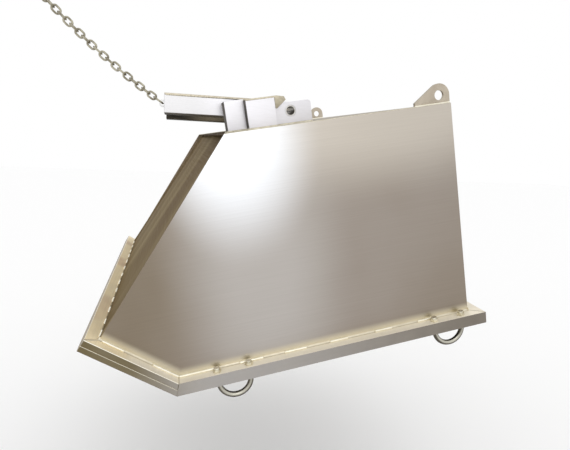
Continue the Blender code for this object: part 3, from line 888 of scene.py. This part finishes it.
class SKIP_OT_ring_bolts(bpy.types.Operator):
    """Ring bolts through the rim, with a nut on each threaded leg"""

    bl_idname = "skip.ring_bolts"
    bl_label = "Ring bolts"

    PLAIN = 0.011  # the leg is plain this far above the rim
    CORE = 0.92  # bottom of the thread, as a share of the bar

    def ring(self, low, high, bar):
        """A bar up from one leg's end, round the bend and back to the other leg's end."""
        span = high.x - low.x - bar
        left = Vector((low.x + bar / 2, (low.y + high.y) / 2, high.z))
        bend = low.z + bar / 2 + span / 2
        bpy.ops.mesh.primitive_circle_add(vertices=20, radius=bar / 2, fill_type="NGON", location=left)
        piece = active()
        settle(piece)
        edit(piece, whole=True)
        turns = int((high.z - RIM_TOP - self.PLAIN) / sizes().thread)
        for i in range(2 * turns):
            depth = 1 / self.CORE if i % 2 else self.CORE
            push((0, 0, -sizes().thread / 2))
            bpy.ops.transform.resize(value=(depth, depth, 1), center_override=(left.x, left.y, 0))
        straight = left.z - turns * sizes().thread - bend
        push((0, 0, -straight))
        bpy.ops.mesh.spin(
            steps=28, angle=math.pi, center=(left.x + span / 2, left.y, bend), axis=(0, 1, 0), dupli=False
        )
        push((0, 0, left.z - bend))
        object_mode()
        outward(piece)
        return piece

    def nut(self, low, high, bar):
        """A hexagon with its corners turned off at both ends, and a hole for the thread."""
        centre = (low + high) / 2
        height = high.z - low.z
        flats = min(high.x - low.x, high.y - low.y)
        bpy.ops.mesh.primitive_cylinder_add(
            vertices=6, radius=flats / math.sqrt(3), depth=height, location=centre,
            rotation=(0, 0, math.pi / 6),
        )
        piece = active()
        bpy.ops.mesh.primitive_cylinder_add(
            vertices=36, radius=flats * 0.585, depth=height + 0.0002, location=centre
        )
        turned = active()
        apply(turned, "BEVEL", width=height * 0.22, segments=3, limit_method="ANGLE")
        cut(piece, turned, "INTERSECT")
        bpy.ops.mesh.primitive_cylinder_add(vertices=24, radius=bar / 2, depth=3 * height, location=centre)
        cut(piece, active())
        settle(piece)
        return piece

    def execute(self, context):
        for side, _ in SIDES:
            for place in ("front", "rear"):
                node = f"{side}_{place}_ubolt"
                low, high = bin_box(node)
                bar = high.y - low.y
                ring = self.ring(low, high, bar)
                ring.name = f"{node}_ring"
                put(ring, BIN)
                smooth(ring, 40)
                finish(ring, SKIP, "bright_steel", "ring_bar", [node])
                for leg in "ab":
                    node = f"{side}_{place}_nut_{leg}"
                    nut = self.nut(*bin_box(node), bar)
                    nut.name = f"{node}_turned"
                    put(nut, BIN)
                    smooth(nut, 25)
                    finish(nut, SKIP, "bright_steel", "weld_metal", [node])
        return {"FINISHED"}


class SKIP_OT_lugs(bpy.types.Operator):
    """Lifting lugs, with rounded edges"""

    bl_idname = "skip.lugs"
    bl_label = "Lifting lugs"

    EDGE = 0.0016

    def execute(self, context):
        for side, _ in SIDES:
            node = f"{side}_lifting_lug"
            piece = dressed(node, f"{node}_plate", self.EDGE, 3, 40, cutter=round_hole(node))
            finish(piece, SKIP, "satin_sheet", "lug_plate", [node])
        return {"FINISHED"}


class SKIP_OT_hinge(bpy.types.Operator):
    """Hinge cheeks, hollow pins and the guides and stops beside the sleeves"""

    bl_idname = "skip.hinge"
    bl_label = "Hinge and guides"

    PARTS = ("outer_cheek", "inner_cheek", "hinge_pin", "rear_guide", "front_guide", "stop_block")
    CAP_PLATE = 0.006
    CAP_DROP = 0.045
    CAP_DEPTH = 0.088
    CAP_PROUD = 0.001

    def execute(self, context):
        for side, _ in SIDES:
            for part in self.PARTS:
                node = f"{side}_{part}"
                if node not in frame["nodes"]:
                    continue
                piece = dressed(node, f"{node}_plate", sizes().edge, 3, 40)
                look = ["frame_steel", [node]]
                if part == "hinge_pin":
                    look = ["pin_steel", [node], "pin_bore"]
                    for face in piece.data.polygons:
                        away = face.center - HINGE
                        away.y = 0
                        face.material_index = int(away.length > 1e-3 and away.dot(face.normal) < -0.002)
                finish(piece, SKIP, "frame_steel", *look)
        self.cap()
        return {"FINISHED"}

    def cap(self):
        """A strip along the top of the rear guide, bent down behind it into a chamfered nose."""
        low, high = bin_box("near_rear_guide")
        back, top = high.x, high.z + self.CAP_PROUD
        nose = [
            (low.x, top), (back + 0.008, top), (back + 0.036, top - self.CAP_PLATE),
            (back + 0.041, top - 0.019), (back + 0.006, top - self.CAP_DROP), (back, top - self.CAP_DROP),
            (back, top - self.CAP_PLATE), (low.x, top - self.CAP_PLATE),
        ]
        front = low.y - 0.002
        cap = prism([(x, front, z) for x, z in nose], (0, self.CAP_DEPTH, 0))
        apply(cap, "BEVEL", width=0.0006, segments=2, limit_method="ANGLE")
        cap.name = "near_rear_guide_cap"
        put(cap, BIN)
        smooth(cap, 28)
        finish(cap, SKIP, "frame_steel", "guide_cap")


class SKIP_OT_sleeves(bpy.types.Operator):
    """Fork sleeves, their ears, stops, rest pads and crossbars"""

    bl_idname = "skip.sleeves"
    bl_label = "Fork sleeves"

    SKIN = 0.0035  # faces that lie this far within a channel's sides are its inside

    def execute(self, context):
        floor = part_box("near_sleeve_channel")[0].z

        def long_edge(a, b):
            return max(abs(a.z - floor), abs(b.z - floor)) < 1e-4 and abs(a.x - b.x) > 0.1

        for node in frame["record"]["behaviour"]["bodies"][FORKS]:
            if "chain" in node or "ring" in node:
                continue
            channel = node.endswith("sleeve_channel")
            folded = long_edge if channel else None
            piece = dressed(node, f"{node}_steel", sizes().edge, 3, 40, folded)
            if channel:
                low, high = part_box(node)
                middle, half = (low.y + high.y) / 2, (high.y - low.y) / 2
                # The insides and the walls that face the other sleeve take the painted shade finish.
                for face in piece.data.polygons:
                    inside = abs(face.center.y - middle) < half - self.SKIN and abs(face.normal.x) < 0.5
                    inward = face.normal.y * math.copysign(1, middle) < -0.5
                    face.material_index = int(inside or inward)
            look = "top_edge" if node.endswith("top_plate") else "frame_steel"
            inner_look = "sleeve_inside" if channel else None
            finish(piece, FORKS, "frame_steel", look, [node], inner_look)
        return {"FINISHED"}


class SKIP_OT_bin_welds(bpy.types.Operator):
    """Seams, fillets and stitch welds on the bin"""

    bl_idname = "skip.bin_welds"
    bl_label = "Bin welds"

    LUG_LEG = 0.0065
    LINE_LEG = 0.003
    TACK = 0.052
    TACK_PITCH = 0.118
    LIFT = 0.30  # how far a stitch stands up the cove, as a share of the cove's leg

    def finish_coves(self, name, runs):
        piece = joined(name, runs)
        put(piece, BIN)
        finish(piece, SKIP, "rim_steel", "cove_metal")

    def execute(self, context):
        size = sizes()
        rng = random.Random(settings().samples_seed)
        for name, sign in SIDES:
            self.side(name, sign, size, rng)
        self.across(size, rng)
        return {"FINISHED"}

    def side(self, name, sign, size, rng):
        """The welds of one side wall."""
        inner, outer = sign * (HALF_WIDTH - SHEET), sign * HALF_WIDTH
        seams = [
            (in_3d(FRONT_TOP, inner), in_3d(REAR_TOP, inner)),
            (in_3d(REAR_TOP, inner), in_3d(REAR_RIM, inner)),
        ]
        weld(f"{name}_corner_seams", seams, size.seam)
        inside = inner - sign * size.bead * 0.4
        slope = [(in_3d(SLOPE_TOP, inside), in_3d(SLOPE_FOOT, inside))]
        weld(f"{name}_slope_weld", slope, size.bead, "slope_sheet")
        fillets = []
        height = FRONT_TOP.y
        for node in (f"{name}_outer_cheek", f"{name}_inner_cheek"):
            fillets += foot_runs(node, height)
        lug = foot_runs(f"{name}_lifting_lug", height)
        weld(f"{name}_lug_weld", lug, self.LUG_LEG, "stitch_metal")
        if sign < 0:
            for node in ("near_rear_guide", "near_front_guide"):
                fillets += foot_runs(node, height, "xy")
        weld(f"{name}_fillet_welds", fillets, size.bead)
        lift = Vector((0, sign, 1)) * size.cove * self.LIFT
        kink, rear, lip = (in_3d(point, outer) + lift for point in (KINK, REAR_RIM, LIP))
        rows = stitches(kink, rear, 0.045, rng) + stitches(lip, kink, 0.010, rng)
        rows += [(kink, kink.lerp(rear, 0.065)), (kink, kink.lerp(lip, 0.20))]
        weld(f"{name}_rim_stitches", rows, size.bead, "stitch_metal")
        kink = in_3d(KINK, outer)
        coves = [cove(kink, in_3d(far, outer), (0, sign, 0), size.cove) for far in (REAR_RIM, LIP)]
        self.finish_coves(f"{name}_rim_cove", coves)

    def across(self, size, rng):
        """The welds along the lip and the rear rim."""
        ends = [in_3d(LIP, y) for y in (-HALF_WIDTH, HALF_WIDTH)]
        rears = [in_3d(REAR_RIM, y) for y in (-HALF_WIDTH, HALF_WIDTH)]
        self.finish_coves("rear_cove", [cove(*rears, (1, 0, 0), size.cove)])
        line = tuple(end + in_3d(LIP_WAY) * 0.001 for end in ends)
        weld("lip_line", [line], self.LINE_LEG, "heat_line")
        lift = in_3d(LIP_WAY + LIP_UP) * 0.002
        tacks = stitches(ends[0] + lift, ends[1] + lift, 0.02, rng, self.TACK, self.TACK_PITCH)
        weld("lip_tacks", tacks, size.bead * 0.85, "stitch_metal")
        lift = Vector((1, 0, 1)) * size.cove * self.LIFT
        rows = stitches(rears[0] + lift, rears[1] + lift, 0.03, rng)
        weld("rear_stitches", rows, size.bead, "stitch_metal")


class SKIP_OT_sleeve_welds(bpy.types.Operator):
    """Fillets that hold the sleeves, their ears, pads and crossbars together"""

    bl_idname = "skip.sleeve_welds"
    bl_label = "Sleeve welds"

    LIGHTER = 0.6

    def execute(self, context):
        leg = sizes().bead * self.LIGHTER
        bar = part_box("rear_crossbar")[0]
        for name, sign in SIDES:
            low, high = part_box(f"{name}_sleeve_channel")
            runs = []
            for y in (low.y, high.y):
                runs.append(((low.x + 0.004, y, high.z), (high.x - 0.002, y, high.z)))
                runs.append(((high.x, y, low.z + 0.004), (high.x, y, high.z - 0.004)))
            foot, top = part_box(f"{name}_rest_pad")
            runs += [((foot.x, y, foot.z), (top.x, y, foot.z)) for y in (foot.y, top.y)]
            runs += [((x, foot.y, foot.z), (x, top.y, foot.z)) for x in (foot.x, top.x)]
            inner = high.y if sign < 0 else low.y
            for foot, top in (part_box("rear_crossbar"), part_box("front_crossbar")):
                ceiling = min(top.z, high.z)
                runs += [((x, inner, foot.z), (x, inner, ceiling)) for x in (foot.x, top.x)]
            self.run(f"{name}_sleeve_welds", runs, leg)
        foot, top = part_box("chain_anchor")
        runs = [((bar.x, y, max(foot.z, bar.z)), (bar.x, y, top.z)) for y in (foot.y, top.y)]
        self.run("anchor_welds", runs, leg)
        return {"FINISHED"}

    def run(self, name, runs, leg):
        """A weld from runs whose ends are plain coordinates."""
        weld(name, [(Vector(start), Vector(end)) for start, end in runs], leg, body=FORKS)


class SKIP_OT_chain(bpy.types.Operator):
    """Safety chain, its connecting ring and the hook on its end"""

    bl_idname = "skip.chain"
    bl_label = "Safety chain"

    ANCHOR = Vector((-0.012, 0, -0.010))
    RING_WAY = Vector((math.cos(math.radians(146.5)), 0, math.sin(math.radians(146.5))))
    RING_LENGTH = 0.046
    RING_BAR = 0.008
    TIP = 0.0503
    FAR_END = Vector((-0.520, 0, 0.420))
    SAG = 0.022
    LINK_WIDTH = 0.034

    def route(self, count=240):
        """A flat parabola from the ring to the hook."""
        first = self.ANCHOR + self.RING_WAY * self.TIP
        shares = [i / count for i in range(count + 1)]
        return [first.lerp(self.FAR_END, t) - Vector((0, 0, 4 * self.SAG * t * (1 - t))) for t in shares]

    def loop(self, length, width, wire, name):
        """A closed link: a torus whose two halves are drawn apart."""
        bend = (width - wire) / 2
        bpy.ops.mesh.primitive_torus_add(
            major_segments=28, minor_segments=14, major_radius=bend, minor_radius=wire / 2
        )
        link = active()
        link.name = name
        edit(link)
        for sign in (1, -1):
            pick(link, lambda v: v.co.x * sign > 1e-6)
            bpy.ops.transform.translate(value=(sign * (length / 2 - bend), 0, 0))
        object_mode()
        return link

    def execute(self, context):
        size = sizes()
        points = self.route()
        lengths = [0.0]
        for a, b in zip(points, points[1:]):
            lengths.append(lengths[-1] + (b - a).length)

        def at(s):
            if s <= 0:
                return points[0] + (points[1] - points[0]).normalized() * s
            if s >= lengths[-1]:
                return points[-1] + (points[-1] - points[-2]).normalized() * (s - lengths[-1])
            i = next(i for i, value in enumerate(lengths) if value > s) - 1
            return points[i].lerp(points[i + 1], (s - lengths[i]) / (lengths[i + 1] - lengths[i]))

        wire, pitch = size.link_wire, size.link_pitch
        span = pitch + wire
        first = self.RING_LENGTH - (self.RING_BAR + wire) / 2 - self.TIP
        count = int((lengths[-1] - first) / pitch)
        pitch = (lengths[-1] + 0.006 - first - wire) / count
        pattern = self.loop(span, self.LINK_WIDTH, wire, "chain_link")
        links = []
        rng = random.Random(settings().samples_seed)
        for i in range(count):
            a, b = at(first + i * pitch), at(first + i * pitch + span)
            way = (b - a).normalized()
            roll = math.radians((0 if i % 2 else 90) + rng.uniform(-9, 9))
            turned = axes(way, ACROSS, way.cross(ACROSS).normalized(), (a + b) / 2)
            link = copied(pattern)
            link.matrix_world = turned @ Matrix.Rotation(roll, 4, "X")
            links.append(link)
        bpy.data.objects.remove(pattern)
        chain = joined("safety_chain_links", links)
        settle(chain)
        smooth(chain, 60)
        finish(chain, FORKS, "zinc_chain", "zinc", ["safety_chain"])

        ring = self.loop(self.RING_LENGTH, 0.020 + self.RING_BAR, self.RING_BAR, "connecting_ring_bar")
        way = self.RING_WAY
        put(ring, axes(way, ACROSS, way.cross(ACROSS), self.ANCHOR + way * self.RING_LENGTH / 2))
        smooth(ring, 60)
        finish(ring, FORKS, "zinc_chain", "zinc", ["connecting_ring"])
        hook = dressed("chain_hook", "chain_hook_bar", 0.0008, 3)
        finish(hook, FORKS, "zinc_chain", "zinc", ["chain_hook"])
        return {"FINISHED"}


class SKIP_OT_stage(bpy.types.Operator):
    """Floor, softbox, white world and camera"""

    bl_idname = "skip.stage"
    bl_label = "Stage"

    SOFTBOX = Vector((0.1, -3.6, 0.5))
    SOFTBOX_AIM = Vector((0.2, 0, -0.3))

    def softbox(self):
        lamp = bpy.data.lights.new("front_softbox", "AREA")
        lamp.shape = "RECTANGLE"
        lamp.size, lamp.size_y, lamp.energy = 1.8, 1.4, settings().key_power
        obj = bpy.data.objects.new("front_softbox", lamp)
        bpy.context.scene.collection.objects.link(obj)
        turn = (self.SOFTBOX_AIM - self.SOFTBOX).to_track_quat("-Z", "Y").to_matrix().to_4x4()
        obj.matrix_world = Matrix.Translation(self.SOFTBOX) @ turn

    def world(self):
        world = bpy.data.worlds.new("studio")
        world.use_nodes = True
        bpy.context.scene.world = world
        tree = world.node_tree
        light = tree.nodes["Background"]
        light.inputs["Color"].default_value = (1, 1, 1, 1)
        light.inputs["Strength"].default_value = settings().fill
        white = new_node(tree, "ShaderNodeBackground", {"Color": (1, 1, 1, 1), "Strength": 1.0})
        path = new_node(tree, "ShaderNodeLightPath", {})
        shown = path["Is Camera Ray"]
        for kind in ("Is Glossy Ray", "Is Transmission Ray"):
            shown = new_node(tree, "ShaderNodeMath", {0: shown, 1: path[kind]}, operation="MAXIMUM")["Value"]
        mixed = new_node(tree, "ShaderNodeMixShader", {0: shown, 1: light.outputs[0], 2: white[0]})
        tree.links.new(mixed[0], tree.nodes["World Output"].inputs["Surface"])

    def floor(self):
        low = CAD_BOX[0].z - settings().floor_drop
        bpy.ops.mesh.primitive_grid_add(
            x_subdivisions=8, y_subdivisions=8, size=settings().floor_size, location=(0, 0, low)
        )
        floor = active()
        floor.name = "studio_floor"
        paint = bpy.data.materials.new("studio_floor")
        paint.use_nodes = True
        shader = paint.node_tree.nodes["Principled BSDF"]
        shader.inputs["Base Color"].default_value = (0.95, 0.95, 0.95, 1)
        shader.inputs["Roughness"].default_value = 0.9
        shader.inputs["Specular IOR Level"].default_value = 0.1
        floor.data.materials.append(paint)

    def camera(self):
        data = bpy.data.cameras.new("view")
        data.sensor_width = 36.0
        data.lens = 30.46
        data.shift_y = -0.0018
        data.clip_end = 200
        camera = bpy.data.objects.new("view", data)
        bpy.context.scene.collection.objects.link(camera)
        right = Vector((0.97353, -0.22321, 0.04919))
        up = Vector((-0.00941, 0.17591, 0.98436))
        camera.matrix_world = axes(right, up, right.cross(up), (0.032, -2.285, -0.149))
        bpy.context.scene.camera = camera

    def execute(self, context):
        scene = bpy.context.scene
        scene.view_settings.view_transform = "Standard"
        self.world()
        self.floor()
        self.camera()
        self.softbox()
        return {"FINISHED"}


class SKIP_PT_panel(bpy.types.Panel):
    """Buttons for the skip's pieces, and their sizes and colours"""

    bl_label = "Tipping skip"
    bl_idname = "SKIP_PT_panel"
    bl_space_type = "VIEW_3D"
    bl_region_type = "UI"
    bl_category = "Skip"

    def draw(self, context):
        for operator in OPERATORS:
            self.layout.operator(operator.bl_idname)
        for group in (context.scene.skip_sizes, context.scene.skip_colours, context.scene.skip_stage):
            box = self.layout.box()
            for name in group.__annotations__:
                box.prop(group, name)


OPERATORS = (
    SKIP_OT_stage,
    SKIP_OT_sheets,
    SKIP_OT_rim,
    SKIP_OT_ring_bolts,
    SKIP_OT_lugs,
    SKIP_OT_hinge,
    SKIP_OT_sleeves,
    SKIP_OT_bin_welds,
    SKIP_OT_sleeve_welds,
    SKIP_OT_chain,
)
CLASSES = (SkipSizes, SkipColours, SkipStage, *OPERATORS, SKIP_PT_panel)


def register():
    for cls in CLASSES:
        bpy.utils.register_class(cls)
    bpy.types.Scene.skip_sizes = PointerProperty(type=SkipSizes)
    bpy.types.Scene.skip_colours = PointerProperty(type=SkipColours)
    bpy.types.Scene.skip_stage = PointerProperty(type=SkipStage)


def unregister():
    for name in ("skip_sizes", "skip_colours", "skip_stage"):
        delattr(bpy.types.Scene, name)
    for cls in reversed(CLASSES):
        bpy.utils.unregister_class(cls)


def main():
    register()
    for operator in OPERATORS:
        group, name = operator.bl_idname.split(".")
        getattr(getattr(bpy.ops, group), name)()


if __name__ == "__main__":
    main()
